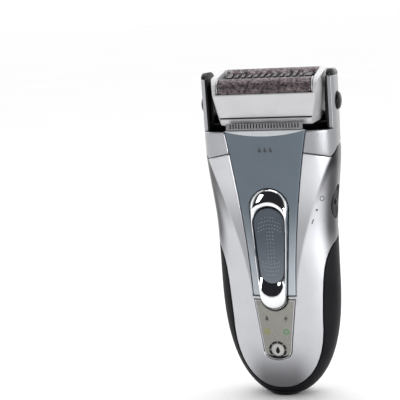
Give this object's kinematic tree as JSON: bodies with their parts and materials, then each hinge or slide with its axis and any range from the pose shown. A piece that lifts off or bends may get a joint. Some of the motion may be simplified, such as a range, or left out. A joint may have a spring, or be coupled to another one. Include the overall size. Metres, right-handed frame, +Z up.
{
  "type": "electric shaver",
  "caption": "Cordless foil shaver standing on its foot: silver and black handle, swivelling foil head between arms, slide-up trimmer with chrome thumb bezel, and charge display.",
  "frame": {"origin": "on the flat foot under the body, in front of the power socket", "axes": "+Z up along the handle to the head; -Y is the front, with the slide and display; +X is the side with the start button"},
  "size_m": [0.0672, 0.0366, 0.1582],
  "materials": {
    "silver_shell": "satin silver lacquer",
    "black_grip": "soft matt grip",
    "black_plastic": "moulded",
    "slate_panel": "satin blue-grey lacquer",
    "chrome_trim": "mirror",
    "silver_cassette": "satin",
    "steel": "machined",
    "shaving_foil": "fine perforated",
    "display_window": "clear and glossy",
    "display_label": "satin warm grey",
    "yellow_light": "translucent",
    "green_light": "translucent",
    "circuit_board": "solder mask",
    "battery_sleeve": "shrink sleeve",
    "contact_metal": "plated",
    "seal_rubber": "moulded"
  },
  "bodies": {
    "handle": {"front_shell": "silver_shell", "rear_housing": "black_grip", "foot_cap": "black_plastic", "head_collar": "silver_shell", "arm_lining": "black_plastic", "power_socket": "black_plastic", "socket_pin_1": "contact_metal", "socket_pin_2": "contact_metal", "display_lens": "display_window", "display_plate": "display_label", "clean_light": "yellow_light", "charge_light": "green_light", "circuit_board": "circuit_board", "charge_controller": "black_plastic", "charging_coil": "black_plastic", "inner_chassis": "black_plastic", "battery_left": "battery_sleeve", "battery_right": "battery_sleeve", "battery_link": "steel", "station_contact_1": "steel", "station_contact_2": "steel", "housing_screw_1": "steel", "housing_screw_2": "steel", "housing_screw_3": "steel", "housing_screw_4": "steel", "motor_can": "steel", "motor_end_cap": "black_plastic", "motor_cradle": "black_plastic", "drive_seal": "seal_rubber", "start_stop_switch": "black_plastic", "switch_board": "circuit_board"},
    "motor_rotor": {"motor_shaft": "steel"},
    "drive": {"drive_bridge": "black_plastic", "drive_pin": "steel"},
    "start_stop": {"start_stop_button": "black_plastic"},
    "release_left": {"release_button_left": "black_plastic"},
    "release_right": {"release_button_right": "black_plastic"},
    "trimmer": {"trimmer_slide_panel": "slate_panel", "slide_bezel": "chrome_trim", "thumb_pad": "slate_panel", "slide_shoe": "black_plastic", "trimmer_comb": "steel"},
    "trimmer_cutter": {"trimmer_blade": "steel"},
    "head": {"head_carrier": "black_plastic"},
    "cutters": {"cutter_base": "black_plastic", "front_row_spring": "steel", "rear_row_spring": "steel"},
    "front_row": {"front_blade_row": "steel"},
    "rear_row": {"rear_blade_row": "steel"},
    "cassette": {"cassette_frame": "silver_cassette"},
    "foil_front": {"front_foil": "shaving_foil", "front_foil_clip_left": "silver_cassette", "front_foil_clip_right": "silver_cassette"},
    "foil_rear": {"rear_foil": "shaving_foil", "rear_foil_clip_left": "silver_cassette", "rear_foil_clip_right": "silver_cassette"},
    "centre_guard": {"centre_comb": "steel"},
    "centre_cutter": {"centre_blade": "steel"}
  },
  "joints": [
    {"name": "motor_spin", "type": "hinge", "parent": "handle", "child": "motor_rotor", "pos_m": [0, -0.0015, 0.108], "axis": [0, 0, 1], "continuous": true},
    {"name": "drive_stroke", "type": "slide", "parent": "handle", "child": "drive", "axis": [1, 0, 0], "range_m": [-0.0012, 0.0012], "stiffness_N_per_m": 400},
    {"name": "start_stop_push", "type": "slide", "parent": "handle", "child": "start_stop", "axis": [-1, 0, 0], "range_m": [0, 0.0012], "stiffness_N_per_m": 800},
    {"name": "release_push_left", "type": "slide", "parent": "handle", "child": "release_left", "axis": [1, 0, 0], "range_m": [0, 0.0014], "stiffness_N_per_m": 900},
    {"name": "release_push_right", "type": "slide", "parent": "handle", "child": "release_right", "axis": [-1, 0, 0], "range_m": [0, 0.0014], "stiffness_N_per_m": 900},
    {"name": "trimmer_slide", "type": "slide", "parent": "handle", "child": "trimmer", "axis": [0, -0.0748, 0.9972], "range_m": [0, 0.011]},
    {"name": "trimmer_stroke", "type": "slide", "parent": "trimmer", "child": "trimmer_cutter", "axis": [1, 0, 0], "range_m": [-0.0008, 0.0008], "stiffness_N_per_m": 200},
    {"name": "head_swivel", "type": "hinge", "parent": "handle", "child": "head", "pos_m": [0, -0.0015, 0.1345], "axis": [-1, 0, 0], "range_deg": [-12, 12], "stiffness_Nm_per_rad": 0.4},
    {"name": "cutter_stroke", "type": "slide", "parent": "head", "child": "cutters", "axis": [1, 0, 0], "range_m": [-0.0012, 0.0012]},
    {"name": "front_row_float", "type": "slide", "parent": "cutters", "child": "front_row", "axis": [0, -0.2164, 0.9763], "range_m": [-0.0015, 0]},
    {"name": "rear_row_float", "type": "slide", "parent": "cutters", "child": "rear_row", "axis": [0, -0.2164, 0.9763], "range_m": [-0.0015, 0]},
    {"name": "cassette_lift", "type": "slide", "parent": "head", "child": "cassette", "axis": [0, -0.2164, 0.9763], "range_m": [0, 0.02]},
    {"name": "front_foil_float", "type": "slide", "parent": "cassette", "child": "foil_front", "axis": [0, -0.2164, 0.9763], "range_m": [-0.0015, 0], "stiffness_N_per_m": 250},
    {"name": "rear_foil_float", "type": "slide", "parent": "cassette", "child": "foil_rear", "axis": [0, -0.2164, 0.9763], "range_m": [-0.0015, 0], "stiffness_N_per_m": 250},
    {"name": "centre_float", "type": "slide", "parent": "cassette", "child": "centre_guard", "axis": [0, -0.2164, 0.9763], "range_m": [-0.0015, 0], "stiffness_N_per_m": 250},
    {"name": "centre_stroke", "type": "slide", "parent": "centre_guard", "child": "centre_cutter", "axis": [1, 0, 0], "range_m": [-0.0012, 0.0012]}
  ],
  "couplings": [
    {"joint": "cutter_stroke", "follows": "drive_stroke", "ratio": 1},
    {"joint": "centre_stroke", "follows": "drive_stroke", "ratio": 1},
    {"joint": "front_row_float", "follows": "front_foil_float", "ratio": 1},
    {"joint": "rear_row_float", "follows": "rear_foil_float", "ratio": 1}
  ]
}
